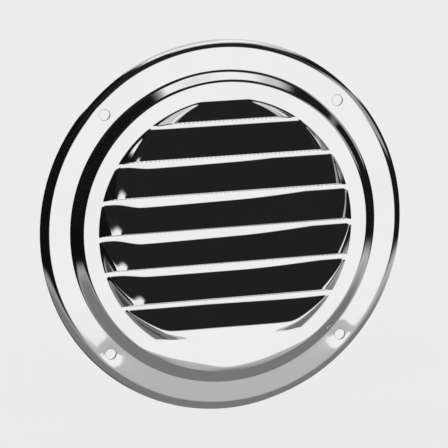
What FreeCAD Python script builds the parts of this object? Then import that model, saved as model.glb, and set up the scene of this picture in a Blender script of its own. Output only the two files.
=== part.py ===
"""Round louvred vent: a pressed stainless cover, its insect screen and its gasket.

Frame: X to the right, Z up, the front faces -Y, and the mounting plane is Y = 0.
The origin is the centre of the back seat, on the vent's axis.  Millimetres.

Most sections are drawn with two plain measures: a radius or height across the face,
and "rise", the distance in front of the mounting plane, so that rise = -Y.
"""
import FreeCAD
import Part
import math
import os

V = FreeCAD.Vector

# ---------------------------------------------------------------- driving dimensions
outer_dia = 127.0          # over the turned-down edge
sheet = 0.8                # thickness of the pressed stainless sheet

flange_rise = 1.8          # front of the flange, at the foot of the step
flange_fall = 0.2          # how much lower the flange is where the edge starts to turn
edge_radius = 4.4          # of the turned-down edge, on its front

flange_width = 10.5        # from the outer edge to the foot of the step
step_run = 3.0             # across the step's slope, from its foot to its top
field_rise = 4.3           # front of the raised field
foot_radius = 2.0          # hollow bend at the foot of the step, on the front
shoulder_radius = 2.0      # round bend at the top of the step, on the front

louvre_border = 5.5        # flat ring between the step's top and the ends of the louvres
louvre_count = 7
web = 1.2                  # flat strip between a slit and the louvre under it
blade_angle = 20.0         # lean of a blade, from the plane of the face
hinge_radius = 4.5         # hollow bend along the top of a blade, on the front
end_angle = 50.0           # slope of the end walls
end_radius = 1.5           # hollow bend at the foot of the end walls, on the front

top_blade_height = 7.4     # the first louvre is short, because the circle closes in
top_crown = 0.8            # from the top of that louvre to the louvre circle
top_blade_angle = 23.0
top_hinge_radius = 1.5
last_roll_radius = 5.0     # the last louvre's lip rolls back until it is flat
last_flat = 1.3            # flat margin along that lip

screw_inset = 6.0          # from the outer edge to the middle of a screw hole
screw_count = 4
screw_first_angle = 45.0
screw_hole_dia = 3.6       # clears a No. 6 screw
dimple_dia = 5.0           # shallow sink round each screw hole
dimple_depth = 0.25

screen_thickness = 0.5     # two layers of woven wire
rim_sheet = 0.4            # folded strip that binds the screen
rim_width = 4.0            # across the face of the rim
rim_play = 0.15            # between the rim and the start of the shoulder's bend
fold_chamfer = 0.3         # softens the two corners of the fold
screen_play = 0.1          # between the screen's edge and the fold of the rim

gasket_gap = 0.3           # between the gasket and the turned-down edge
gasket_lip = 2.6           # how far the gasket reaches in over the screen's rim
gasket_hole_dia = 4.2      # screw holes in the gasket

# ---------------------------------------------------------------- derived sizes
outer_r = outer_dia / 2
step_foot_r = outer_r - flange_width
step_top_r = step_foot_r - step_run
louvre_r = step_top_r - louvre_border      # circle that the ends of all the louvres follow
louvre_pitch = (louvre_r - top_crown - top_blade_height) / ((louvre_count - 1) / 2)
screw_circle_r = outer_r - screw_inset
field_back = field_rise - sheet
step_slope = math.degrees(math.atan2(field_rise - flange_rise, step_run))
run_out = 3.0              # length drawn past a trimmed end, and over a cut


# ---------------------------------------------------------------- section helpers
def lean(angle):
    """Unit vector (across, rise) of a front face that leans by angle towards 'across'."""
    a = math.radians(angle)
    return math.sin(a), math.cos(a)


def on_arc(centre, radius, angle):
    """Point of a bend: radius is plus for a round bend, minus for a hollow one."""
    n = lean(angle)
    return centre[0] + radius * n[0], centre[1] + radius * n[1]


def bend(centre, radius, start, end):
    """A bend, as its two end points and a point halfway."""
    return [on_arc(centre, radius, a) for a in (start, (start + end) / 2, end)]


def corner_centre(corner, radius, start, end):
    """Centre of the bend that rounds a corner between two leans."""
    a, b = lean(start), lean(end)
    k = radius / (1 + math.cos(math.radians(end - start)))
    return corner[0] - k * (a[0] + b[0]), corner[1] - k * (a[1] + b[1])


def section(steps, place):
    """Closed wire through points (2 numbers) and bends (3 points), put in space by place."""
    edges = []
    last = None
    first = None
    for step in steps:
        points = [place(*p) for p in (step if isinstance(step, list) else [step])]
        if last is None:
            first = points[0]
        elif not last.isEqual(points[0], 1e-7):
            edges.append(Part.makeLine(last, points[0]))
        if len(points) == 3:
            edges.append(Part.Arc(*points).toShape())
        last = points[-1]
    edges.append(Part.makeLine(last, first))
    return Part.Wire(edges)


def on_radius(across, rise):
    """Half section through the axis, on the +X side."""
    return V(across, -rise, 0)


def revolved(steps):
    """Solid of revolution about the vent's own axis."""
    face = Part.Face(section(steps, on_radius))
    return face.revolve(V(0, 0, 0), V(0, 1, 0), 360)


def extruded(steps, half_width):
    """Upright section (height, rise), extruded to both sides of the middle."""
    face = Part.Face(section(steps, lambda height, rise: V(-half_width, -rise, height)))
    return face.extrude(V(2 * half_width, 0, 0))


def rod(radius, low, high, x=0.0, z=0.0):
    """Cylinder along the axis, from one rise to another."""
    return Part.makeCylinder(radius, high - low, V(x, -low, z), V(0, -1, 0))


def screw_places():
    """Centres of the screw holes, as (x, z)."""
    for i in range(screw_count):
        a = math.radians(screw_first_angle + i * 360 / screw_count)
        yield screw_circle_r * math.cos(a), screw_circle_r * math.sin(a)


# ---------------------------------------------------------------- cover, without louvres
def flange_line():
    """A point of the flange's front line, its lean, and the centre of the edge's bend."""
    foot = (step_foot_r, flange_rise)
    tilt = math.degrees(math.atan2(flange_fall, outer_r - edge_radius - foot[0]))
    along = (math.cos(math.radians(tilt)), -math.sin(math.radians(tilt)))
    n = lean(tilt)
    reach = (outer_r - foot[0], -foot[1])
    drop = -(reach[0] * n[0] + reach[1] * n[1])
    run = reach[0] * along[0] + reach[1] * along[1]
    run -= math.sqrt(edge_radius ** 2 - (edge_radius - drop) ** 2)
    start = (foot[0] + run * along[0], foot[1] + run * along[1])
    centre = (start[0] - edge_radius * n[0], start[1] - edge_radius * n[1])
    return foot, tilt, centre


def cover_line(depth):
    """The cover's line from the axis to the edge, at a depth under its front face."""
    foot, tilt, edge_centre = flange_line()
    shoulder = corner_centre((step_top_r, field_rise), shoulder_radius, 0, step_slope)
    hollow = corner_centre(foot, -foot_radius, step_slope, tilt)
    return [
        (0, field_rise - depth),
        bend(shoulder, shoulder_radius - depth, 0, step_slope),
        bend(hollow, -(foot_radius + depth), step_slope, tilt),
        bend(edge_centre, edge_radius - depth, tilt, 90),
    ]


def reverse(steps):
    return [list(reversed(s)) if isinstance(s, list) else s for s in reversed(steps)]


def above_mounting_plane(shape):
    """What is left of a shape in front of the mounting plane."""
    size = outer_dia
    block = Part.makeBox(2 * size, size, 2 * size, V(-size, -size, -size))
    return shape.common(block)


def make_pan():
    """Raised field, step, flange and turned-down edge, as one plain pressing."""
    return above_mounting_plane(revolved(cover_line(0) + reverse(cover_line(sheet))))


# ---------------------------------------------------------------- louvres
def blade_section(depth, top, slit, angle, hinge, roll, flat, floor):
    """Upright section under a blade's face, down to the rise 'floor'.

    At depth 0 it ends at the lip, square to the blade; deeper, it ends over the slit.
    """
    centre = (top, field_rise + hinge)
    steps = [(top, floor), bend(centre, -(hinge + depth), 0, angle)]
    down = (-math.cos(math.radians(angle)), math.sin(math.radians(angle)))
    n = lean(angle)
    start = on_arc(centre, -hinge, angle)
    if roll:
        # the lip turns back to flat: the bend and the flat margin end over the slit
        turn = roll * n[0]
        bend_top = slit + flat + turn
        length = (start[0] - bend_top) / -down[0]
        tangent = (start[0] + length * down[0], start[1] + length * down[1])
        roll_centre = (tangent[0] - roll * n[0], tangent[1] - roll * n[1])
        steps.append(bend(roll_centre, roll - depth, angle, 0))
        steps.append((slit, roll_centre[1] + roll - depth))
        steps.append((slit, floor))
        return steps
    length = (slit - start[0]) * down[0] + (field_rise - start[1]) * down[1]
    lip = (start[0] + length * down[0], start[1] + length * down[1])
    if depth == 0:
        back = (lip[1] - floor) / n[1]
        steps += [lip, (lip[0] - back * n[0], floor)]
        return steps
    under = (start[0] - depth * n[0], start[1] - depth * n[1])
    length = (under[0] - slit) / -down[0]
    steps += [(slit, under[1] + length * down[1]), (slit, floor)]
    return steps


def end_form(depth, floor):
    """Drafted round form that closes the ends of the louvres, at a depth under the face.

    Its hollow bend is drawn as two flats, because it repeats at every end.
    """
    centre = (louvre_r, field_rise + end_radius)
    top = field_rise + louvre_pitch
    flats = bend(centre, -(end_radius + depth), 0, end_angle)
    foot = flats[-1]
    inset = (top - foot[1]) / math.tan(math.radians(end_angle))
    return revolved([(0, floor), (louvre_r, floor)] + flats + [(foot[0] - inset, top), (0, top)])


def louvre_rows():
    """Top, slit, lean, hinge radius, lip roll and lip margin of each louvre."""
    half = (louvre_count - 1) / 2
    for i in range(louvre_count):
        slit = (half - i) * louvre_pitch
        top = slit + louvre_pitch - web
        if i == 0:
            yield slit + top_blade_height, slit, top_blade_angle, top_hinge_radius, 0, 0
        elif i == louvre_count - 1:
            yield top, slit, blade_angle, hinge_radius, last_roll_radius, last_flat
        else:
            yield top, slit, blade_angle, hinge_radius, 0, 0


def add_louvres(pan):
    """Raise each louvre from the field, then open it behind and under its lip."""
    middle = field_rise - sheet / 2
    behind = field_back - run_out
    outside = end_form(0, middle)
    inside = end_form(sheet, behind)
    raised, hollows = [], []
    for top, slit, angle, hinge, roll, flat in louvre_rows():
        blade = extruded(blade_section(0, top, slit, angle, hinge, roll, flat, middle), louvre_r)
        hollow = extruded(blade_section(sheet, top, slit, angle, hinge, roll, flat, behind), louvre_r)
        raised.append(blade.common(outside))
        hollows.append(hollow.common(inside))
    return pan.fuse(raised).cut(hollows).removeSplitter()


def add_screw_holes(cover):
    """Pierce the screw holes, each in its shallow dimple."""
    foot, tilt, _ = flange_line()
    top = flange_rise - (screw_circle_r - foot[0]) * math.tan(math.radians(tilt))
    cuts = []
    for x, z in screw_places():
        cuts.append(rod(screw_hole_dia / 2, -run_out, field_rise, x, z))
        cone = Part.makeCone(screw_hole_dia / 2, dimple_dia / 2, dimple_depth,
                             V(x, -(top - dimple_depth), z), V(0, -1, 0))
        cuts.append(cone.fuse(rod(dimple_dia / 2, top, field_rise, x, z)))
    return cover.cut(cuts)


def make_cover():
    return add_screw_holes(add_louvres(make_pan()))


# ---------------------------------------------------------------- screen and its rim
def rim_outer_radius():
    """The rim fits inside the bend at the top of the step."""
    centre = corner_centre((step_top_r, field_rise), shoulder_radius, 0, step_slope)
    return centre[0] - rim_play


def rim_thickness():
    return screen_thickness + 2 * rim_sheet


def make_screen_rim():
    """Strip folded round the edge of the screen, open towards the middle."""
    outer = rim_outer_radius()
    inner = outer - rim_width
    front = field_back
    back = front - rim_thickness()
    slot_end = outer - rim_sheet
    return revolved([
        (inner, front),
        (outer - fold_chamfer, front),
        (outer, front - fold_chamfer),
        (outer, back + fold_chamfer),
        (outer - fold_chamfer, back),
        (inner, back),
        (inner, back + rim_sheet),
        (slot_end, back + rim_sheet),
        (slot_end, front - rim_sheet),
        (inner, front - rim_sheet),
    ])


def make_screen():
    """Woven wire disc, drawn plain; its edge lies in the fold of the rim."""
    slot_end = rim_outer_radius() - rim_sheet
    low = field_back - rim_sheet - screen_thickness
    return rod(slot_end - screen_play, low, low + screen_thickness)


# ---------------------------------------------------------------- gasket
def make_gasket():
    """Moulded ring that fills the back of the cover and holds the screen in.

    Its front lies on the back of the flange and of the step's slope.
    """
    foot, tilt, edge_centre = flange_line()
    corner = corner_centre(foot, sheet, step_slope, tilt)
    outer = edge_centre[0] - gasket_gap
    inner = rim_outer_radius() - gasket_lip
    top = field_back - rim_thickness()
    ridge = corner[0] - (top - corner[1]) / math.tan(math.radians(step_slope))
    ring = revolved([
        (inner, 0),
        (inner, top),
        (ridge, top),
        corner,
        (outer, corner[1] - (outer - corner[0]) * math.tan(math.radians(tilt))),
        (outer, 0),
    ])
    for x, z in screw_places():
        ring = ring.cut(rod(gasket_hole_dia / 2, -run_out, field_rise, x, z))
    return ring


# ---------------------------------------------------------------- write
def write(name, shape):
    shape = shape.Solids[0] if len(shape.Solids) == 1 else shape
    shape.exportStep("parts/%s.step" % name)
    print("%-14s solids %d  valid %s  volume %.0f mm3" %
          (name, len(shape.Solids), shape.isValid(), shape.Volume))


os.makedirs("parts", exist_ok=True)
write("louvre_cover", make_cover())
write("insect_screen", make_screen())
write("screen_rim", make_screen_rim())
write("gasket", make_gasket())
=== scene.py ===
import math

import bmesh
import bpy
from bpy.props import FloatProperty, FloatVectorProperty, IntProperty, PointerProperty
from mathutils import Matrix, Vector


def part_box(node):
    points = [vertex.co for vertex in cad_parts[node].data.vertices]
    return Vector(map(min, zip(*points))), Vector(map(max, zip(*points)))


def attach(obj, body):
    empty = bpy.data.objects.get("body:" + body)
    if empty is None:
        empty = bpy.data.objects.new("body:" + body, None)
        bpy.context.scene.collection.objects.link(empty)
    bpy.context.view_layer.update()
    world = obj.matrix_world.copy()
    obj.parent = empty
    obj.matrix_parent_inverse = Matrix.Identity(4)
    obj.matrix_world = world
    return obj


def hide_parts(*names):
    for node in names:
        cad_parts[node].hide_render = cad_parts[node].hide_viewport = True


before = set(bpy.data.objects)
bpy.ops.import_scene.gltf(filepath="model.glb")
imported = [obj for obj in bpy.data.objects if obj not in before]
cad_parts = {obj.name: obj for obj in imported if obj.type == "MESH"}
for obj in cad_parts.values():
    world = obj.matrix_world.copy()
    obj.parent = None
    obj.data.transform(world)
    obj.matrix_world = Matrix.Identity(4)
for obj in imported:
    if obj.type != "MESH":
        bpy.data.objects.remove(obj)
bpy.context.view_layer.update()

bl_info = {
    "name": "Round louvred vent",
    "version": (1, 0, 0),
    "blender": (4, 5, 0),
    "location": "View3D > Sidebar > Vent",
    "description": "Builds a pressed louvred vent cover, its screen, rim and gasket",
    "category": "Object",
}

MM = 0.001
WELD = 0.5e-6           # points closer than this are one point
TURNS = 192             # steps of a full spin
HALF_TURN = math.pi
SHARP = math.radians(35)            # folds sharper than this keep a hard edge
COVER_LOW, COVER_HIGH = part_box("louvre_cover")
SCREEN_LOW, SCREEN_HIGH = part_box("insect_screen")
RIM_LOW, RIM_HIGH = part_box("screen_rim")
GASKET_LOW, GASKET_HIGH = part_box("gasket")
AXIS = Vector((0, 1, 0))

# How the webs between the louvres change in width. Heights and sides are shares of the louvre
# circle's radius, and widths are shares of the web swell.
WIDEST_WEB = 0.045                  # height of the widest web
WEB_NARROWING = 6.2                 # how fast webs narrow above and below it
WEB_SLANT, WEB_SLANT_RISE = 1.1, 3.7
WEB_END_FALL = 0.9                  # narrower towards both ends
WEB_RIGHT_FALL = 1.8                # narrower still on the right, in the upper webs
RIGHT_START, RIGHT_RUN = 0.1, 0.85
RIGHT_FADE_START, RIGHT_FADE_RUN = 0.2, 0.35
LEAST_WEB = 0.1                     # share of the plain web that is always left
PINCH_SHARE, PINCH_START, PINCH_RUN = 0.9, 0.66, 0.24
NECK_START, NECK_RUN = 0.955, 0.045

# Where the left corner of a lip droops
DROOP_IN, DROOP_WIDTH, DROOP_POWER = 6.2 * MM, 2.6 * MM, 3.2
LIP_STEPS = 12                      # rounds that settle where a lip lies

# The sag of the raised field beside the step, in degrees round the axis and in shares
SAG_START, SAG_START_RUN, SAG_END, SAG_END_RUN = 228, 14, 318, 30
SAG_WIDTH, SAG_WAVE, SAG_WAVES, SAG_WAVE_ZERO = 1.9, 0.8, 9, 245
SAG_WAVE_END, SAG_WAVE_END_RUN = 280, 15
SAG_INSET, SAG_SPREAD = 0.5 * MM, 1.3
SAG_FADE_END, SAG_FADE_RUN = 52.6 * MM, 2 * MM

# Patches that are swapped for a round hole
FLAT = 0.01 * MM                    # how closely a patch has to lie at its height
HOLE_PATCH = 6.5 * MM               # reach of the patch round a hole's centre
FLANGE_PATCH = (0.68 * MM, 60.29 * MM)      # past the step's foot, up to the edge's bend
COLLAR = 2.72 * MM                  # first ring round a cover hole
DIMPLE_STEP, DIMPLE_STEPS = 0.15 * MM, 5
HOLE_EDGE = ((0.12, 0.01), (0.06, 0.03), (0.02, 0.07), (0.0, 0.13))    # out and down, in mm

# Where the gasket's front bends behind the foot of the step
GASKET_CORNER_IN, GASKET_CORNER_RISE = 0.301 * MM, 1.0094 * MM
GASKET_LIP = 2.6 * MM
GASKET_GROOVES = (53.6 * MM, 50.2 * MM)


def length(name, about, default, low=0.0):
    return FloatProperty(name=name, description=about, default=default, min=low,
                         subtype="DISTANCE", unit="LENGTH", precision=5)


def angle(name, about, degrees):
    return FloatProperty(name=name, description=about, default=math.radians(degrees),
                         subtype="ANGLE", unit="ROTATION")


def colour(name, about, default):
    return FloatVectorProperty(name=name, description=about, default=default, size=3, min=0.0,
                               max=1.0, subtype="COLOR")


# ---------------------------------------------------------------- sizes and colours
class VentPanSizes(bpy.types.PropertyGroup):
    """The plain pressing: raised field, step, flange and turned-down edge."""
    sheet: length("Sheet", "Thickness of the pressed sheet", 0.8 * MM)
    outer: length("Outer radius", "Radius over the turned-down edge", COVER_HIGH.x)
    field_rise: length("Field rise", "Front of the raised field", 4.3 * MM)
    flange_rise: length("Flange rise", "Front of the flange at the foot of the step", 1.8 * MM)
    flange_tilt: angle("Flange tilt", "How far the flange leans outwards", 1.878)
    step_top: length("Step top", "Radius where the step meets the field", 50 * MM)
    step_foot: length("Step foot", "Radius where the step meets the flange", 53 * MM)
    shoulder: length("Shoulder", "Radius of the bend at the top of the step", 2 * MM)
    foot: length("Foot", "Radius of the bend at the foot of the step", 2 * MM)
    edge: length("Edge", "Radius of the turned-down edge", 4.4 * MM)
    screw_circle: length("Screw circle", "Radius of the circle of screw holes", 57.5 * MM)
    screw_hole: length("Screw hole", "Radius of a screw hole", 1.8 * MM)
    dimple: length("Dimple", "Radius of the sink close to a screw hole", 2.6 * MM)
    dimple_reach: length("Dimple reach", "Radius at which that sink fades out", 4.1 * MM)
    dimple_depth: length("Dimple depth", "Depth of that sink", 0.12 * MM)
    sag: length("Sag", "How far the raised field sags beside the step, low down", 0.2 * MM)


class VentLouvreSizes(bpy.types.PropertyGroup):
    """The louvres lanced out of the raised field."""
    count: IntProperty(name="Count", description="Number of louvres", default=7, min=2)
    reach: length("Reach", "Radius of the circle that the louvres' ends follow", 44.5 * MM)
    pitch: length("Pitch", "From one slit to the next", 12.1 * MM)
    web: length("Web", "Flat strip between a slit and the louvre under it", 1.2 * MM)
    lean: angle("Lean", "Lean of a blade from the plane of the face", 20)
    hinge: length("Hinge bend", "Radius of the bend along the top of a blade", 4.5 * MM)
    end_lean: angle("End lean", "Slope of a louvre's end walls", 50)
    end_bend: length("End bend", "Radius of the bend at the foot of an end wall", 1.5 * MM)
    top_height: length("Top blade", "Height of the short first blade", 7.4 * MM)
    top_lean: angle("Top lean", "Lean of the first blade", 23)
    top_hinge: length("Top hinge", "Radius of the bend above the first blade", 1.5 * MM)
    roll: length("Last roll", "Radius of the bend that turns the last lip back", 5 * MM)
    margin: length("Last margin", "Flat margin along the last lip", 1.3 * MM)
    crease: FloatProperty(name="Crease", description="Sharpness of a louvre's corners",
                          default=5.0, min=2.0)
    web_swell: length("Web swell", "Extra width of the webs across the middle", 0.8 * MM)
    droop: length("Droop", "How far the left corner of a lip droops", 0.85 * MM)
    columns: IntProperty(name="Columns", description="Faces along a louvre", default=120, min=8)
    rows: IntProperty(name="Rows", description="Faces down a louvre", default=22, min=4)


class VentBackSizes(bpy.types.PropertyGroup):
    """Woven screen, its folded rim, and the gasket."""
    wire: length("Wire", "Diameter of the screen's wire", 0.25 * MM)
    mesh_pitch: length("Mesh pitch", "From one wire to the next", 1.5 * MM)
    strip: length("Strip", "Thickness of the folded rim", 0.4 * MM)
    strip_width: length("Strip width", "Width of the rim across its face", 4 * MM)
    gasket_hole: length("Gasket hole", "Radius of the gasket's screw holes", 2.1 * MM)
    groove: length("Groove", "Depth of the gasket's two sealing grooves", 0.25 * MM)


class VentFinishes(bpy.types.PropertyGroup):
    """Colours of the pieces and of the stage."""
    steel: colour("Polished steel", "Colour of the polished sheet", (0.90, 0.905, 0.905))
    wire: colour("Drawn wire", "Colour of the screen's wire", (0.60, 0.605, 0.61))
    strip: colour("Rim strip", "Colour of the rim's rolled strip", (0.66, 0.665, 0.67))
    rubber: colour("Rubber", "Colour of the gasket", (0.028, 0.028, 0.030))
    backdrop: colour("Backdrop", "Colour of the pale floor and backdrop", (0.855, 0.855, 0.855))


class VentStageSizes(bpy.types.PropertyGroup):
    """Camera, floor and lights."""
    distance: length("Distance", "From the camera to the point it looks at", 0.96216)
    turn: angle("Turn", "How far the camera stands to the left", 16.436)
    height: angle("Height", "How far the camera stands above level", 11.056)
    roll: angle("Roll", "How far the camera is rolled", -1.067)
    lens: FloatProperty(name="Lens", description="Focal length in millimetres",
                        default=228.92, min=1.0, unit="CAMERA")
    floor: length("Floor", "Half the width of the floor", 6.0)


GROUPS = (
    ("vent_pan", VentPanSizes), ("vent_louvres", VentLouvreSizes), ("vent_back", VentBackSizes),
    ("vent_finishes", VentFinishes), ("vent_stage", VentStageSizes),
)


# ---------------------------------------------------------------- mesh helpers
def finish_piece(bm, name, slot, material, *nodes):
    """Turn a bmesh into a finished piece that rides on the root and stands for CAD nodes."""
    mesh = bpy.data.meshes.new(name)
    for face in bm.faces:
        face.smooth = True
    for edge in bm.edges:
        edge.smooth = edge.is_manifold and edge.calc_face_angle(0.0) < SHARP
    bm.to_mesh(mesh)
    bm.free()
    piece = bpy.data.objects.new(name, mesh)
    bpy.context.scene.collection.objects.link(piece)
    mesh.materials.append(material)
    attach(piece, "root")
    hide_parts(*nodes)
    return piece


def face_outwards(bm):
    bmesh.ops.recalc_face_normals(bm, faces=bm.faces[:])


def distinct(items):
    """Each item once, in a fixed order."""
    return list(dict.fromkeys(items))


def draw_line(bm, corners):
    """A line of points (radius, rise) in the upright plane through the axis."""
    verts = [bm.verts.new((r, -rise, 0)) for r, rise in corners]
    for pair in zip(verts, verts[1:]):
        bm.edges.new(pair)
    return verts


def round_corner(bm, vert, offset, segments):
    bmesh.ops.bevel(bm, geom=[vert], offset=offset, offset_type="OFFSET", affect="VERTICES",
                    segments=segments, profile=0.5, material=-1)


def spin_line(bm, geom):
    bmesh.ops.spin(bm, geom=geom, cent=(0, 0, 0), axis=AXIS, angle=math.tau, steps=TURNS,
                   use_merge=True, use_duplicate=False)
    bmesh.ops.remove_doubles(bm, verts=bm.verts[:], dist=WELD)


def radius_of(point):
    return math.hypot(point.x, point.z)


def screw_angles():
    return [math.radians(45 + 90 * i) for i in range(4)]


# ---------------------------------------------------------------- louvre shapes
def hinge_and_blade(down, lean, hinge, reach, roll=0.0, margin=0.0):
    """Height of a blade above the field, at a distance below its top."""
    if down <= 0:
        return 0.0
    bend_end = hinge * math.sin(lean)
    if down <= bend_end:
        return hinge - math.sqrt(hinge * hinge - down * down)
    height = hinge * (1 - math.cos(lean))
    if not roll:
        return height + (down - bend_end) * math.tan(lean)
    roll_end = reach - margin
    roll_start = roll_end - roll * math.sin(lean)
    straight = min(down, roll_start) - bend_end
    height += straight * math.tan(lean)
    if down <= roll_start:
        return height
    back = max(roll_end - down, 0.0)
    return height - roll * math.cos(lean) + math.sqrt(roll * roll - back * back)


def end_wall(inward, lean, bend):
    """Height of an end wall above the field, at a distance inside the louvre circle."""
    if inward <= 0:
        return 0.0
    bend_end = bend * math.sin(lean)
    if inward <= bend_end:
        return bend - math.sqrt(bend * bend - inward * inward)
    return bend * (1 - math.cos(lean)) + (inward - bend_end) * math.tan(lean)


def lower_of(a, b, crease):
    """The lower of two heights, with the crease between them rounded."""
    if a <= 0 or b <= 0:
        return 0.0
    low, high = min(a, b), max(a, b)
    return low * (1 + (low / high) ** crease) ** (-1 / crease)


def web_width(sizes, across, slit):
    """Width of the flat web under a slit. The fold above a blade isn't quite straight."""
    z, x = slit / sizes.reach, across * half_chord(sizes.reach, slit) / sizes.reach
    swell = sizes.web_swell * (1 - WEB_NARROWING * (z - WIDEST_WEB) ** 2)
    swell -= WEB_SLANT * sizes.web_swell * x * min(max(WEB_SLANT_RISE * z + 1, -1), 1)
    swell -= WEB_END_FALL * sizes.web_swell * across ** 4
    fade = 1 - smooth_step((-z - RIGHT_FADE_START) / RIGHT_FADE_RUN)
    swell -= WEB_RIGHT_FALL * sizes.web_swell * fade * smooth_step((x - RIGHT_START) / RIGHT_RUN)
    wide = max(sizes.web + swell, LEAST_WEB * sizes.web)
    wide *= 1 - PINCH_SHARE * smooth_step((-across - PINCH_START) / PINCH_RUN)
    return wide + (sizes.web - wide) * smooth_step((abs(across) - NECK_START) / NECK_RUN)


def smooth_step(t):
    t = min(max(t, 0.0), 1.0)
    return t * t * (3 - 2 * t)


class Louvre:
    """One louvre: where it lies and how high it stands."""

    def __init__(self, sizes, index):
        half = (sizes.count - 1) / 2
        self.first, self.last = index == 0, index == sizes.count - 1
        self.sizes = sizes
        self.slit = (half - index) * sizes.pitch
        self.above = self.slit + sizes.pitch
        self.lean = sizes.top_lean if self.first else sizes.lean
        self.hinge = sizes.top_hinge if self.first else sizes.hinge
        self.roll = sizes.roll if self.last else 0.0
        self.margin = sizes.margin if self.last else 0.0
        self.lip_lean = 0.0 if self.last else self.lean
        self.run = sizes.top_height if self.first else sizes.pitch - sizes.web
        self.droop = 0.0 if self.first or self.last else sizes.droop

    def top(self, across):
        if self.first:
            return self.slit + self.sizes.top_height
        return self.above - web_width(self.sizes, across, self.above)

    def height(self, across, z):
        s = self.sizes
        top = self.top(across)
        x = across * half_chord(s.reach, z)
        part = (top - z) / (top - self.slit)
        blade = hinge_and_blade(part * self.run, self.lean, self.hinge, self.run, self.roll,
                                self.margin)
        corner = (x + half_chord(s.reach, self.slit) - DROOP_IN) / DROOP_WIDTH
        blade -= self.droop * math.exp(-corner * corner) * max(part, 0.0) ** DROOP_POWER
        wall = end_wall(s.reach - math.hypot(x, z), s.end_lean, s.end_bend)
        return lower_of(blade, wall, s.crease)

    def lip(self, across):
        """How far down the lip lies, because it is cut square to the leaning blade."""
        z = self.slit
        for _ in range(LIP_STEPS):
            z = self.slit + self.height(across, z) * math.tan(self.lip_lean)
        return z


def half_chord(radius, z):
    return math.sqrt(max(radius * radius - z * z, 0.0))


def crowd_ends(p):
    """Spreads columns so that most of them lie near a louvre's two ends."""
    return math.copysign(1 - (1 - abs(p)) ** 1.8, p)


def crowd_top(q):
    """Spreads rows so that the hinge bend has its share of them."""
    return q * (0.42 + 0.58 * q)


def grid_strip(bm, columns, rows, place):
    """A strip of faces whose points go where place(across, down) says."""
    made = bmesh.ops.create_grid(bm, x_segments=columns, y_segments=rows, size=1.0)
    for vert in made["verts"]:
        across, down = crowd_ends(vert.co.x), (1 - vert.co.y) / 2
        vert.co = place(across, down)


def raise_louvre(bm, sizes, rise, louvre):
    lips = {}

    def place(across, down):
        key = round(across, 6)
        if key not in lips:
            lips[key] = louvre.lip(across)
        top = louvre.top(across)
        z = top - crowd_top(down) * (top - lips[key])
        return across * half_chord(sizes.reach, z), -rise - louvre.height(across, z), z

    grid_strip(bm, sizes.columns, sizes.rows, place)


def lay_web(bm, sizes, rise, high, low, rows=2):
    """Flat strip of the field between a slit and the louvre under it."""
    def place(across, down):
        z = high + (low(across) - high) * down
        return across * half_chord(sizes.reach, z), -rise, z

    grid_strip(bm, sizes.columns, rows, place)


def lay_margin(bm, sizes, rise, chord, rows=4):
    """Flat piece of the field between a chord and the louvre circle."""
    def place(across, down):
        x = across * half_chord(sizes.reach, chord)
        arc = math.copysign(half_chord(sizes.reach, x), chord)
        return x, -rise, chord + (arc - chord) * down

    grid_strip(bm, sizes.columns, rows, place)


def make_louvre_field(bm, sizes, rise):
    louvres = [Louvre(sizes, i) for i in range(sizes.count)]
    for louvre in louvres:
        raise_louvre(bm, sizes, rise, louvre)
    for upper, lower in zip(louvres, louvres[1:]):
        lay_web(bm, sizes, rise, upper.slit, lower.top)
    lay_margin(bm, sizes, rise, louvres[0].top(0))
    lay_margin(bm, sizes, rise, louvres[-1].slit, rows=8)
    bmesh.ops.remove_doubles(bm, verts=bm.verts[:], dist=WELD)
    bmesh.ops.dissolve_degenerate(bm, edges=bm.edges[:], dist=WELD)


# ---------------------------------------------------------------- plain pressing round it
def bend_offset(radius, turn):
    return radius * math.tan(abs(turn) / 2)


def step_slope(pan):
    return math.atan2(pan.field_rise - pan.flange_rise, pan.step_foot - pan.step_top)


def spin_pan(bm, pan, inner):
    """Field, step, flange and edge, spun from one line with rounded corners."""
    slope = step_slope(pan)
    centre_rise = flange_height(pan, pan.outer) - pan.edge
    brim = pan.outer + pan.edge - math.sqrt(max(pan.edge ** 2 - centre_rise ** 2, 0.0))
    for _ in range(4):
        centre_rise = flange_height(pan, brim - pan.edge) - pan.edge / math.cos(pan.flange_tilt)
        brim = pan.outer + pan.edge - math.sqrt(pan.edge ** 2 - centre_rise ** 2)
    corners = [(inner, pan.field_rise), (pan.step_top, pan.field_rise),
               (pan.step_foot, pan.flange_rise), (brim, flange_height(pan, brim)),
               (brim, centre_rise - pan.edge * 0.2)]
    verts = draw_line(bm, corners)
    turns = (slope, slope - pan.flange_tilt, math.pi / 2 - pan.flange_tilt)
    bends = zip(verts[1:4], (pan.shoulder, pan.foot, pan.edge), turns, (7, 7, 14))
    for vert, radius, turn, segments in bends:
        round_corner(bm, vert, bend_offset(radius, turn), segments)
    line = [e for e in bm.edges if not e.link_faces]
    flange = [e for e in line if e.calc_length() > 5 * MM]
    field = [e for e in line if 2.4 * MM < e.calc_length() < 5 * MM]
    bmesh.ops.subdivide_edges(bm, edges=flange, cuts=3)
    bmesh.ops.subdivide_edges(bm, edges=field, cuts=9)
    line = [e for e in bm.edges if not e.link_faces]
    points = distinct(v for e in line for v in e.verts)
    spin_line(bm, points + line)


def flange_height(pan, radius):
    return pan.flange_rise - (radius - pan.step_foot) * math.tan(pan.flange_tilt)


def boundary_loop(bm, test):
    return [e for e in bm.edges if e.is_boundary and all(test(v.co) for v in e.verts)]


def join_field(bm, sizes, inner):
    """Close the flat ring between the louvre circle and the spun pressing."""
    near = boundary_loop(bm, lambda p: abs(radius_of(p) - sizes.reach) < 2e-6)
    far = boundary_loop(bm, lambda p: abs(radius_of(p) - inner) < 2e-6)
    bmesh.ops.triangle_fill(bm, use_beauty=True, edges=near + far)


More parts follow.
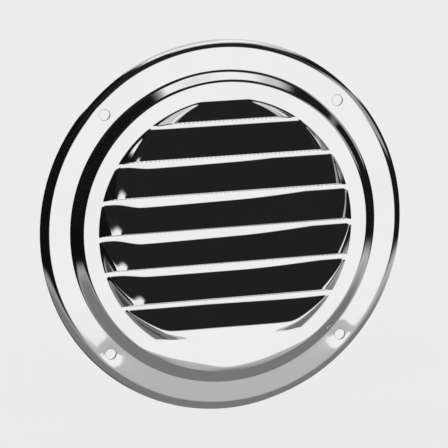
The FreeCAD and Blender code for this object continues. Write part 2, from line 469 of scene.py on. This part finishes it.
def open_round(bm, centre, low, high, radius, height, ring=()):
    """Swap a patch of a flat ring for one with a round hole, and return the hole's edges.

    The ring is flat between the radii low and high, where it lies at the given height.
    """
    turn = math.atan2(centre.z, centre.x)
    doomed = []
    for face in bm.faces:
        middle = face.calc_center_median()
        if not low < radius_of(middle) < high or abs(middle.y + height(middle)) > FLAT:
            continue
        off = abs(math.remainder(math.atan2(middle.z, middle.x) - turn, math.tau))
        if off < 2 * math.tau / TURNS:
            doomed.append(face)
    bmesh.ops.delete(bm, geom=doomed, context="FACES")
    gap = [e for e in bm.edges if e.is_boundary
           and all((v.co - centre).xz.length < HOLE_PATCH for v in e.verts)
           and all(abs(v.co.y + height(v.co)) < FLAT for v in e.verts)]
    if not ring:
        lie = Matrix.Translation(centre) @ Matrix.Rotation(HALF_TURN / 2, 4, "X")
        made = bmesh.ops.create_circle(bm, segments=48, radius=radius, matrix=lie)
        for vert in made["verts"]:
            vert.co.y = -height(vert.co)
        ring = distinct(e for v in made["verts"] for e in v.link_edges)
    bmesh.ops.triangle_fill(bm, use_beauty=True, edges=distinct(gap + ring))
    return ring


def sag_field(bm, pan):
    """Let the raised field sag a little beside the step, more in some places than in others."""
    for vert in bm.verts:
        radius, turn = radius_of(vert.co), math.degrees(math.atan2(vert.co.z, vert.co.x)) % 360
        share = (smooth_step((turn - SAG_START) / SAG_START_RUN)
                 * smooth_step((SAG_END - turn) / SAG_END_RUN))
        if not share:
            continue
        wave = SAG_WAVE * math.sin(math.radians(turn - SAG_WAVE_ZERO) * SAG_WAVES)
        width = (SAG_WIDTH + wave * smooth_step((SAG_WAVE_END - turn) / SAG_WAVE_END_RUN)) * MM
        start = pan.step_top - SAG_INSET - width * share
        down = (smooth_step((radius - start) / (SAG_SPREAD * width))
                * smooth_step((SAG_FADE_END - radius) / SAG_FADE_RUN))
        vert.co.y += pan.sag * share * down


def pierce_screw_holes(bm, pan):
    """Open the flange at each screw hole and press the shallow dimple round it."""
    def height(point):
        return flange_height(pan, radius_of(point))

    for turn in screw_angles():
        centre = Vector((math.cos(turn), 0, math.sin(turn))) * pan.screw_circle
        ring = open_round(bm, centre, pan.step_foot + FLANGE_PATCH[0], FLANGE_PATCH[1], COLLAR,
                          height)
        rings = [(pan.dimple - DIMPLE_STEP * i, 0.0) for i in range(DIMPLE_STEPS)]
        rings += [(pan.screw_hole + off * MM, drop * MM) for off, drop in HOLE_EDGE]
        for radius, drop in rings:
            grown = bmesh.ops.extrude_edge_only(bm, edges=ring)["geom"]
            ring = [g for g in grown if isinstance(g, bmesh.types.BMEdge) and g.is_boundary]
            for vert in distinct(v for e in ring for v in e.verts):
                out = vert.co - centre
                out.y = 0
                vert.co = centre + out.normalized() * radius
                vert.co.y = drop - height(vert.co)
        for vert in bm.verts:
            away = (vert.co - centre).xz.length
            if away < pan.dimple_reach:
                part = (away - pan.screw_hole) / (pan.dimple_reach - pan.screw_hole)
                vert.co.y += pan.dimple_depth * (1 - smooth_step(part))


def thicken(bm, thickness):
    """Give the sheet its thickness behind its front, then trim it at the mounting plane."""
    bmesh.ops.recalc_face_normals(bm, faces=bm.faces[:])
    middle = min(bm.faces, key=lambda f: f.calc_center_median().length_squared)
    if middle.normal.y > 0:
        bmesh.ops.reverse_faces(bm, faces=bm.faces[:])
    bm.normal_update()
    back = bm.verts.layers.float_vector.new("back")
    for vert in bm.verts:
        vert[back] = -vert.normal * thickness * min(vert.calc_shell_factor(), 1.3)
    made = bmesh.ops.extrude_face_region(bm, geom=bm.faces[:], use_keep_orig=True)["geom"]
    for vert in (g for g in made if isinstance(g, bmesh.types.BMVert)):
        vert.co += Vector(vert[back])
    behind = [g for g in made if isinstance(g, bmesh.types.BMFace)]
    bmesh.ops.reverse_faces(bm, faces=behind)
    bm.verts.layers.float_vector.remove(back)
    bmesh.ops.bisect_plane(bm, geom=bm.verts[:] + bm.edges[:] + bm.faces[:], dist=WELD,
                           plane_co=(0, 0, 0), plane_no=AXIS, clear_outer=True)
    cut = [e for e in bm.edges if e.is_boundary]
    reach = [radius_of(e.verts[0].co) for e in cut]
    inner = [e for e, r in zip(cut, reach) if r < max(reach) - thickness / 2]
    grown = bmesh.ops.extrude_edge_only(bm, edges=inner)["geom"]
    moved = [g for g in grown if isinstance(g, bmesh.types.BMVert)]
    for vert in moved:
        vert.co *= max(reach) / radius_of(vert.co)
    bmesh.ops.remove_doubles(bm, verts=distinct([v for e in cut for v in e.verts] + moved),
                             dist=4 * WELD)


# ---------------------------------------------------------------- woven screen
def draw_wire(bm, side, half_length, sizes, phase):
    """One wire along x that passes over and under the wires across it."""
    cells = max(round(4 * half_length / sizes.mesh_pitch), 2)
    before = len(bm.verts)
    made = bmesh.ops.create_cone(bm, cap_ends=True, cap_tris=False, segments=6,
                                 radius1=sizes.wire / 2, radius2=sizes.wire / 2,
                                 depth=2 * half_length,
                                 matrix=Matrix.Rotation(math.pi / 2, 4, "Y"))
    long_ones = distinct(e for v in made["verts"] for e in v.link_edges
                         if e.calc_length() > half_length)
    bmesh.ops.subdivide_edges(bm, edges=long_ones, cuts=cells - 1)
    bm.verts.ensure_lookup_table()
    lift = sizes.wire / 2 * 0.98 * phase
    for vert in bm.verts[before:]:
        vert.co.y += lift * math.cos(math.pi * vert.co.x / sizes.mesh_pitch)
        vert.co.z += side


def turn_copy(bm, verts, axis):
    """Copy what hangs on these points and turn the copy half round an axis."""
    geom = (list(verts) + [e for v in verts for e in v.link_edges]
            + [f for v in verts for f in v.link_faces])
    made = bmesh.ops.duplicate(bm, geom=distinct(geom))["geom"]
    turned = [g for g in made if isinstance(g, bmesh.types.BMVert)]
    bmesh.ops.rotate(bm, verts=turned, cent=(0, 0, 0), matrix=Matrix.Rotation(math.pi, 3, axis))


# ---------------------------------------------------------------- shader helpers
def new_material(name, tint):
    material = bpy.data.materials.new(name)
    material.use_nodes = True
    material.diffuse_color = (*tint, 1)
    nodes = material.node_tree.nodes
    nodes.clear()
    out = nodes.new("ShaderNodeOutputMaterial")
    shader = nodes.new("ShaderNodeBsdfPrincipled")
    material.node_tree.links.new(shader.outputs[0], out.inputs[0])
    return material, Tree(material.node_tree), shader


class Tree:
    """A node tree with short ways to add and join nodes."""

    def __init__(self, tree):
        self.tree = tree

    def add(self, kind, label="", **values):
        node = self.tree.nodes.new(kind)
        node.label = label
        for key, value in values.items():
            if hasattr(node, key):
                setattr(node, key, value)
            else:
                raise ValueError(kind + " has no " + key)
        return node

    def feed(self, node, **sockets):
        for key, value in sockets.items():
            self.put(node.inputs[key.replace("_", " ")], value)
        return node

    def put(self, socket, value):
        if isinstance(value, bpy.types.NodeSocket):
            self.tree.links.new(value, socket)
        else:
            socket.default_value = value

    def math(self, operation, *values):
        node = self.add("ShaderNodeMath", operation=operation)
        for socket, value in zip(node.inputs, values):
            self.put(socket, value)
        return node.outputs[0]

    def ramp(self, value, low, high, to_low=0.0, to_high=1.0):
        node = self.add("ShaderNodeMapRange", interpolation_type="SMOOTHSTEP")
        for socket, v in zip(node.inputs, (value, low, high, to_low, to_high)):
            self.put(socket, v)
        return node.outputs[0]

    def mix(self, factor, a, b):
        node = self.add("ShaderNodeMix", data_type="RGBA")
        for socket, v in ((node.inputs[0], factor), (node.inputs[6], a), (node.inputs[7], b)):
            self.put(socket, v)
        return node.outputs[2]

    def noise(self, vector, scale, detail=2.0, roughness=0.5):
        node = self.add("ShaderNodeTexNoise")
        self.feed(node, Vector=vector, Scale=scale, Detail=detail, Roughness=roughness)
        return node.outputs[0]

    def object_place(self):
        return self.add("ShaderNodeTexCoord").outputs["Object"]

    def group(self, group, **sockets):
        node = self.add("ShaderNodeGroup", node_tree=group)
        self.feed(node, **sockets)
        return node


def new_group(name, inputs, outputs):
    group = bpy.data.node_groups.new(name, "ShaderNodeTree")
    for socket, kind, default in inputs:
        made = group.interface.new_socket(name=socket, in_out="INPUT", socket_type=kind)
        if default is not None:
            made.default_value = default
    for socket, kind in outputs:
        group.interface.new_socket(name=socket, in_out="OUTPUT", socket_type=kind)
    tree = Tree(group)
    return group, tree, tree.add("NodeGroupInput"), tree.add("NodeGroupOutput")


def build_once(name, build):
    return bpy.data.node_groups.get(name) or build(name)


def handling_marks(name):
    """Faint cloudy film and wipe marks that any bare metal picks up."""
    group, t, inside, out = new_group(
        name,
        [("Vector", "NodeSocketVector", None), ("Scale", "NodeSocketFloat", 60.0),
         ("Low", "NodeSocketFloat", 0.0), ("High", "NodeSocketFloat", 1.0)],
        [("Film", "NodeSocketFloat")])
    cloud = t.noise(inside.outputs["Vector"], inside.outputs["Scale"], 3.0, 0.55)
    t.put(out.inputs["Film"], t.ramp(cloud, 0.35, 0.75, inside.outputs["Low"],
                                     inside.outputs["High"]))
    return group


def round_brushing(name):
    """Fine lines that run round the axis, as a spinning pad or a rolling tool leaves."""
    group, t, inside, out = new_group(
        name,
        [("Vector", "NodeSocketVector", None), ("Fineness", "NodeSocketFloat", 6000.0),
         ("Length", "NodeSocketFloat", 3.0)],
        [("Lines", "NodeSocketFloat")])
    split = t.add("ShaderNodeSeparateXYZ")
    t.put(split.inputs[0], inside.outputs["Vector"])
    x, y, z = split.outputs
    radius = t.math("SQRT", t.math("ADD", t.math("MULTIPLY", x, x), t.math("MULTIPLY", z, z)))
    turn = t.math("ARCTAN2", z, x)
    join = t.add("ShaderNodeCombineXYZ")
    t.put(join.inputs[0], t.math("MULTIPLY", radius, inside.outputs["Fineness"]))
    t.put(join.inputs[1], t.math("MULTIPLY", t.math("SINE", turn), inside.outputs["Length"]))
    t.put(join.inputs[2], t.math("MULTIPLY", t.math("COSINE", turn), inside.outputs["Length"]))
    lines = t.noise(join.outputs[0], 1.0, 2.0, 0.6)
    t.put(out.inputs["Lines"], lines)
    return group


def bump(t, height, strength, distance):
    node = t.add("ShaderNodeBump")
    t.feed(node, Strength=strength, Distance=distance, Height=height)
    return node.outputs[0]


def polished_stainless(tint):
    material, t, shader = new_material("polished_stainless", tint)
    place = t.object_place()
    marks = build_once("handling_marks", handling_marks)
    film = t.group(marks, Vector=place, Scale=55.0, Low=0.0, High=1.0).outputs[0]
    fine = t.noise(place, 900.0, 2.0)
    rough = t.math("ADD", t.math("MULTIPLY", film, 0.02),
                   t.math("MULTIPLY", fine, 0.02))
    t.feed(shader, Metallic=1.0, IOR=2.5,
           Roughness=t.math("ADD", rough, 0.045),
           Base_Color=t.mix(film, (*tint, 1), (*(c * 0.97 for c in tint), 1)))
    return material


def rolled_strip(tint):
    material, t, shader = new_material("rim_strip", tint)
    place = t.object_place()
    lines = t.group(build_once("round_brushing", round_brushing), Vector=place,
                    Fineness=5000.0, Length=2.5).outputs[0]
    film = t.group(build_once("handling_marks", handling_marks), Vector=place,
                   Scale=90.0).outputs[0]
    t.feed(shader, Metallic=1.0,
           Roughness=t.math("ADD", t.math("MULTIPLY", film, 0.10),
                            t.ramp(lines, 0.3, 0.7, 0.24, 0.4)),
           Base_Color=t.mix(lines, (*(c * 0.86 for c in tint), 1), (*tint, 1)),
           Normal=bump(t, lines, 0.25, 0.00004))
    return material


def drawn_wire(tint):
    material, t, shader = new_material("screen_wire", tint)
    place = t.object_place()
    film = t.group(build_once("handling_marks", handling_marks), Vector=place,
                   Scale=120.0).outputs[0]
    grain = t.noise(place, 4000.0, 2.0)
    t.feed(shader, Metallic=1.0,
           Roughness=t.ramp(grain, 0.3, 0.7, 0.26, 0.42),
           Base_Color=t.mix(film, (*tint, 1), (*(c * 0.8 for c in tint), 1)),
           Normal=bump(t, grain, 0.2, 0.00003))
    return material


def moulded_rubber(tint):
    material, t, shader = new_material("gasket_rubber", tint)
    place = t.object_place()
    dust = t.group(build_once("handling_marks", handling_marks), Vector=place,
                   Scale=70.0).outputs[0]
    grain = t.noise(place, 2600.0, 3.0, 0.65)
    pale = tuple(min(c * 1.9 + 0.012, 1) for c in tint)
    t.feed(shader, Metallic=0.0,
           Roughness=t.ramp(grain, 0.25, 0.75, 0.52, 0.72),
           Base_Color=t.mix(t.math("MULTIPLY", dust, 0.6), (*tint, 1), (*pale, 1)),
           Normal=bump(t, grain, 0.35, 0.00006))
    return material


# ---------------------------------------------------------------- stage
def studio_panel(name):
    """Mask of one soft-edged panel of the studio, in degrees round and up."""
    group, t, inside, out = new_group(
        name,
        [(n, "NodeSocketFloat", 0.0) for n in
         ("Round", "Up", "Left", "Right", "Low", "High", "Softness")],
        [("Mask", "NodeSocketFloat")])
    around, up, left, right, low, high, soft = inside.outputs[:7]
    masks = []
    for value, edge, sign in ((around, left, 1), (around, right, -1), (up, low, 1), (up, high, -1)):
        gap = t.math("SUBTRACT", value, edge) if sign > 0 else t.math("SUBTRACT", edge, value)
        half = t.math("MULTIPLY", soft, 0.5)
        masks.append(t.ramp(gap, t.math("MULTIPLY", half, -1.0), half))
    mask = masks[0]
    for other in masks[1:]:
        mask = t.math("MULTIPLY", mask, other)
    t.put(out.inputs["Mask"], mask)
    return group


WHITE = 0.955           # brightness of the studio's white surfaces
SKY = 0.92              # brightness of the light that matt surfaces receive

# left, right, low, high, softness and brightness of each panel. Angles are in degrees, with 0
# in front and plus to the right. A later panel covers an earlier one.
STUDIO_PANELS = (
    (-181, 181, 40, 91, 14, 0.62),
    (-181, 181, -91, -16, 0.5, 0.50),
    (-181, 181, -91, -27, 14, 0.20),
    (-112, 1, -24, 45, 6, 0.005),
    (-62, 1, 38, 62, 6, 0.005),
    (-30, 44, 13, 48, 7, 0.013),
    (42, 92, 21, 44, 8, 0.010),
    (40, 113, -19, 4, 6, 0.008),
    (46, 77, 4, 21, 5, 0.32),
    (77, 112, 0, 22, 5, 0.008),
    (96, 181, 20, 60, 6, WHITE),
    (-25, 76, 54, 69, 7, WHITE),
    (-181, -64, 42, 64, 5, WHITE),
    (-181, -80, -75, -20, 8, 0.06),
    (113, 181, -60, 91, 8, WHITE),
)


def light_world(backdrop):
    """Soft white studio with dark flags, which only the polished metal mirrors."""
    world = bpy.data.worlds.new("studio")
    bpy.context.scene.world = world
    world.use_nodes = True
    t = Tree(world.node_tree)
    world.node_tree.nodes.clear()
    split = t.add("ShaderNodeSeparateXYZ")
    t.put(split.inputs[0], t.add("ShaderNodeTexCoord").outputs["Generated"])
    x, y, z = split.outputs
    around = t.math("DEGREES", t.math("ARCTAN2", x, t.math("MULTIPLY", y, -1.0)))
    up = t.math("DEGREES", t.math("ARCSINE", z))
    panel = build_once("studio_panel", studio_panel)
    shade = (WHITE, WHITE, WHITE, 1)
    for left, right, low, high, soft, level in STUDIO_PANELS:
        mask = t.group(panel, Round=around, Up=up, Left=left, Right=right, Low=low, High=high,
                       Softness=soft).outputs[0]
        shade = t.mix(mask, shade, (level, level, level, 1))
    paths = t.add("ShaderNodeLightPath")
    wall = (*(c * WHITE for c in backdrop), 1)
    plain = t.mix(paths.outputs["Is Camera Ray"], (SKY, SKY, SKY, 1), wall)
    glow = t.add("ShaderNodeBackground")
    t.feed(glow, Color=t.mix(paths.outputs["Is Glossy Ray"], plain, shade), Strength=1.0)
    t.put(t.add("ShaderNodeOutputWorld").inputs[0], glow.outputs[0])


FLOOR_GLOW = 0.95       # share of the floor's brightness that is its own


def lay_floor(stage, backdrop):
    bm = bmesh.new()
    lie = Matrix.Translation((0, 0, COVER_LOW.z))
    bmesh.ops.create_grid(bm, x_segments=8, y_segments=8, size=stage.floor, matrix=lie)
    mesh = bpy.data.meshes.new("floor")
    bm.to_mesh(mesh)
    bm.free()
    floor = bpy.data.objects.new("floor", mesh)
    bpy.context.scene.collection.objects.link(floor)
    material, t, shader = new_material("floor", backdrop)
    t.feed(shader, Base_Color=(*(c * (1 - FLOOR_GLOW) for c in backdrop), 1), Roughness=1.0,
           Specular_IOR_Level=0.0, Emission_Color=(*backdrop, 1),
           Emission_Strength=FLOOR_GLOW - 0.02)
    mesh.materials.append(material)
    floor.visible_glossy = False


def set_lamp(name, place, size, power):
    lamp = bpy.data.lights.new(name, "AREA")
    lamp.shape, lamp.size, lamp.energy = "DISK", size, power
    holder = bpy.data.objects.new(name, lamp)
    bpy.context.scene.collection.objects.link(holder)
    holder.location = place
    holder.rotation_euler = (-Vector(place)).to_track_quat("-Z", "Y").to_euler()
    holder.visible_glossy = False
    holder.visible_camera = False


def set_camera(stage):
    data = bpy.data.cameras.new("camera")
    data.lens, data.sensor_width = stage.lens, 36.0
    data.clip_start, data.clip_end = 0.01, 50.0
    camera = bpy.data.objects.new("camera", data)
    bpy.context.scene.collection.objects.link(camera)
    look_at = Vector((0.30 * MM, 0, 0.65 * MM))
    turn = (Matrix.Rotation(-stage.turn, 4, "Z")
            @ Matrix.Rotation(HALF_TURN / 2 - stage.height, 4, "X")
            @ Matrix.Rotation(stage.roll, 4, "Z"))
    camera.matrix_world = (Matrix.Translation(look_at) @ turn
                           @ Matrix.Translation((0, 0, stage.distance)))
    bpy.context.scene.camera = camera


# ---------------------------------------------------------------- operators
class VENT_OT_stage(bpy.types.Operator):
    """Set the camera, the soft studio light and the pale floor"""
    bl_idname = "vent.stage"
    bl_label = "Stage"
    bl_options = {"REGISTER", "UNDO"}

    def execute(self, context):
        scene = context.scene
        set_camera(scene.vent_stage)
        light_world(scene.vent_finishes.backdrop)
        lay_floor(scene.vent_stage, scene.vent_finishes.backdrop)
        set_lamp("key_light", (-0.7, -0.9, 1.1), 0.8, 2.0)
        set_lamp("back_light", (0.8, 1.2, 1.0), 0.8, 6.0)
        scene.view_settings.view_transform = "Standard"
        return {"FINISHED"}


class VENT_OT_cover(bpy.types.Operator):
    """Press the louvred cover from one sheet of polished stainless steel"""
    bl_idname = "vent.cover"
    bl_label = "Louvred cover"
    bl_options = {"REGISTER", "UNDO"}

    def execute(self, context):
        scene = context.scene
        pan, sizes = scene.vent_pan, scene.vent_louvres
        inner = sizes.reach + 1.5 * MM
        bm = bmesh.new()
        spin_pan(bm, pan, inner)
        sag_field(bm, pan)
        pierce_screw_holes(bm, pan)
        make_louvre_field(bm, sizes, pan.field_rise)
        join_field(bm, sizes, inner)
        thicken(bm, pan.sheet)
        if any(not e.is_manifold for e in bm.edges):
            raise RuntimeError("the pressed cover has open edges")
        cover = finish_piece(bm, "pressed_cover", "polished_stainless",
                             polished_stainless(scene.vent_finishes.steel), "louvre_cover")
        weigh = cover.modifiers.new("even_shading", "WEIGHTED_NORMAL")
        weigh.keep_sharp = True
        weigh.weight = 50
        return {"FINISHED"}


class VENT_OT_screen(bpy.types.Operator):
    """Weave the insect screen from round wire"""
    bl_idname = "vent.screen"
    bl_label = "Insect screen"
    bl_options = {"REGISTER", "UNDO"}

    def execute(self, context):
        sizes = context.scene.vent_back
        radius = SCREEN_HIGH.x
        bm = bmesh.new()
        middle_wire = 0
        for i in range(int(radius / sizes.mesh_pitch) + 1):
            side = i * sizes.mesh_pitch
            half = half_chord(radius - sizes.wire / 2, side)
            if half > sizes.mesh_pitch:
                draw_wire(bm, side, half, sizes, (-1) ** i)
            if i == 0:
                middle_wire = len(bm.verts)
        turn_copy(bm, bm.verts[middle_wire:], "Y")
        turn_copy(bm, bm.verts[:], Vector((1, 0, 1)))
        bmesh.ops.translate(bm, verts=bm.verts[:],
                            vec=(0, (SCREEN_LOW.y + SCREEN_HIGH.y) / 2, 0))
        finish_piece(bm, "woven_screen", "screen_wire",
                     drawn_wire(context.scene.vent_finishes.wire), "insect_screen")
        return {"FINISHED"}


class VENT_OT_rim(bpy.types.Operator):
    """Fold the strip that binds the edge of the screen"""
    bl_idname = "vent.rim"
    bl_label = "Screen rim"
    bl_options = {"REGISTER", "UNDO"}

    def execute(self, context):
        sizes = context.scene.vent_back
        outer, front, back = RIM_HIGH.x, -RIM_LOW.y, -RIM_HIGH.y
        inner, slot_end = outer - sizes.strip_width, outer - sizes.strip
        corners = [(inner, front), (outer, front), (outer, back), (inner, back),
                   (inner, back + sizes.strip), (slot_end, back + sizes.strip),
                   (slot_end, front - sizes.strip), (inner, front - sizes.strip)]
        bm = bmesh.new()
        verts = draw_line(bm, corners)
        bm.edges.new((verts[-1], verts[0]))
        for i, radius in ((1, 0.45 * MM), (2, 0.45 * MM)):
            round_corner(bm, verts[i], radius, 5)
        spin_line(bm, bm.verts[:] + bm.edges[:])
        face_outwards(bm)
        finish_piece(bm, "folded_rim", "rim_strip",
                     rolled_strip(context.scene.vent_finishes.strip), "screen_rim")
        return {"FINISHED"}


class VENT_OT_gasket(bpy.types.Operator):
    """Mould the rubber gasket with its screw holes and sealing beads"""
    bl_idname = "vent.gasket"
    bl_label = "Gasket"
    bl_options = {"REGISTER", "UNDO"}

    def execute(self, context):
        scene = context.scene
        sizes, pan = scene.vent_back, scene.vent_pan
        slope = step_slope(pan)
        inner, outer = RIM_HIGH.x - GASKET_LIP, GASKET_HIGH.x
        top, soft = -GASKET_LOW.y, 0.15 * MM
        corner = (pan.step_foot - GASKET_CORNER_IN, GASKET_CORNER_RISE)
        ridge = corner[0] - (top - corner[1]) / math.tan(slope)
        line = [(inner, 0.0), (inner, top), (ridge, top), corner,
                (outer, corner[1] - (outer - corner[0]) * math.tan(pan.flange_tilt)), (outer, 0.0)]
        for groove in GASKET_GROOVES:
            line += [(groove, 0.0), (groove - 0.2 * MM, sizes.groove),
                     (groove - 0.9 * MM, sizes.groove), (groove - 1.1 * MM, 0.0)]
        bm = bmesh.new()
        verts = draw_line(bm, line)
        bm.edges.new((verts[-1], verts[0]))
        for i in (0, 1, 4, 5):
            round_corner(bm, verts[i], soft, 4)
        spin_line(bm, bm.verts[:] + bm.edges[:])
        face_outwards(bm)

        def front_height(point):
            return corner[1] - (radius_of(point) - corner[0]) * math.tan(pan.flange_tilt)

        edge = outer - 2 * soft
        for turn in screw_angles():
            centre = Vector((math.cos(turn), 0, math.sin(turn))) * pan.screw_circle
            front = open_round(bm, centre, corner[0], edge, sizes.gasket_hole, front_height)
            grown = bmesh.ops.extrude_edge_only(bm, edges=front)["geom"]
            ring = [g for g in grown if isinstance(g, bmesh.types.BMEdge) and g.is_boundary]
            for vert in distinct(v for e in ring for v in e.verts):
                vert.co.y = 0
            open_round(bm, centre, corner[0], edge, sizes.gasket_hole, lambda p: 0.0, ring)
        face_outwards(bm)
        if any(not e.is_manifold for e in bm.edges):
            raise RuntimeError("the gasket has open edges")
        finish_piece(bm, "moulded_gasket", "gasket_rubber",
                     moulded_rubber(scene.vent_finishes.rubber), "gasket")
        return {"FINISHED"}


OPERATORS = (VENT_OT_stage, VENT_OT_cover, VENT_OT_screen, VENT_OT_rim, VENT_OT_gasket)


class VENT_PT_sidebar(bpy.types.Panel):
    """Sidebar panel that lists the vent's pieces"""
    bl_label = "Round louvred vent"
    bl_idname = "VENT_PT_sidebar"
    bl_space_type = "VIEW_3D"
    bl_region_type = "UI"
    bl_category = "Vent"

    def draw(self, context):
        layout = self.layout
        for operator in OPERATORS:
            layout.operator(operator.bl_idname)
        for name, group in GROUPS:
            box = layout.box()
            box.label(text=group.__doc__)
            for prop in group.__annotations__:
                box.prop(getattr(context.scene, name), prop)


CLASSES = tuple(group for _, group in GROUPS) + OPERATORS + (VENT_PT_sidebar,)


def register():
    for cls in CLASSES:
        bpy.utils.register_class(cls)
    for name, group in GROUPS:
        setattr(bpy.types.Scene, name, PointerProperty(type=group))


def unregister():
    for name, _ in GROUPS:
        delattr(bpy.types.Scene, name)
    for cls in reversed(CLASSES):
        bpy.utils.unregister_class(cls)


def main():
    register()
    bpy.ops.vent.stage()
    bpy.ops.vent.cover()
    bpy.ops.vent.screen()
    bpy.ops.vent.rim()
    bpy.ops.vent.gasket()


if __name__ == "__main__":
    main()
